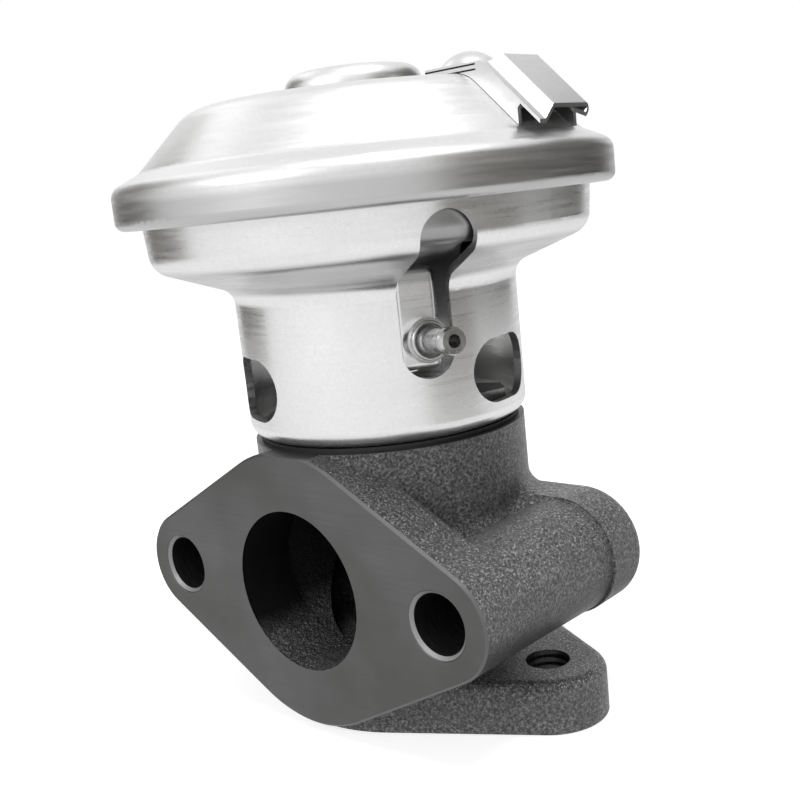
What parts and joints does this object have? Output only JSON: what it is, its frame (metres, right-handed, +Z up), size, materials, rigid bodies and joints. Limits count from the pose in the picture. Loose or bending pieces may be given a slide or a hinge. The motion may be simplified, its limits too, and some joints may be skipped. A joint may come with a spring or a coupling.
{
  "type": "egr valve",
  "caption": "Vacuum-operated exhaust gas valve: cast body with flanged gas inlet and base, pressed-steel cup and vacuum can, side nipple and a clip bracket on top.",
  "frame": {"origin": "centre of the base flange's machined face, on the valve axis", "axes": "+Z up the valve axis to the vent cap, -Y out of the gas inlet flange, +X towards the clip bracket"},
  "size_m": [0.0774, 0.0774, 0.0992],
  "materials": {
    "cast_iron": "shot-blasted gray iron, faces milled",
    "valve_steel": "heat-resistant steel, turned",
    "guide_bronze": "sintered bronze",
    "gasket_sheet": "dark embossed steel gasket",
    "zinc_sheet": "satin zinc-coated steel sheet",
    "housing_sheet": "zinc-coated steel sheet",
    "cover_sheet": "satin zinc-coated steel sheet",
    "bracket_sheet": "zinc-coated steel sheet",
    "rivet_steel": "zinc-coated steel",
    "screw_steel": "plain steel",
    "nipple_steel": "turned, plated steel",
    "spring_steel": "oiled spring wire",
    "seal_rubber": "moulded rubber",
    "diaphragm_rubber": "fabric-backed rubber"
  },
  "bodies": {
    "housing": {"valve_body": "cast_iron", "valve_seat": "valve_steel", "stem_guide": "guide_bronze", "soot_deflector": "valve_steel", "neck_gasket": "gasket_sheet", "lower_shell": "zinc_sheet", "cup_screws": "screw_steel", "inner_housing": "housing_sheet", "vacuum_duct": "zinc_sheet", "vacuum_nipple": "nipple_steel", "swage_ring": "nipple_steel", "stem_seal": "seal_rubber", "spring_seat": "screw_steel", "return_spring": "spring_steel", "diaphragm": "diaphragm_rubber", "upper_cover": "cover_sheet", "vent_cap": "cover_sheet", "bracket_base": "bracket_sheet", "bracket_arm": "bracket_sheet", "bracket_rivet": "rivet_steel"},
    "valve": {"valve_stem": "valve_steel", "valve_head": "valve_steel", "lower_plate": "housing_sheet", "upper_plate": "housing_sheet", "stem_nut": "screw_steel"}
  },
  "joints": [
    {"name": "valve_lift", "type": "slide", "parent": "housing", "child": "valve", "axis": [0, 0, -1], "range_m": [0, 0.0035], "stiffness_N_per_m": 4500, "springref_m": -0.006, "deforming": ["return_spring", "diaphragm"]}
  ]
}
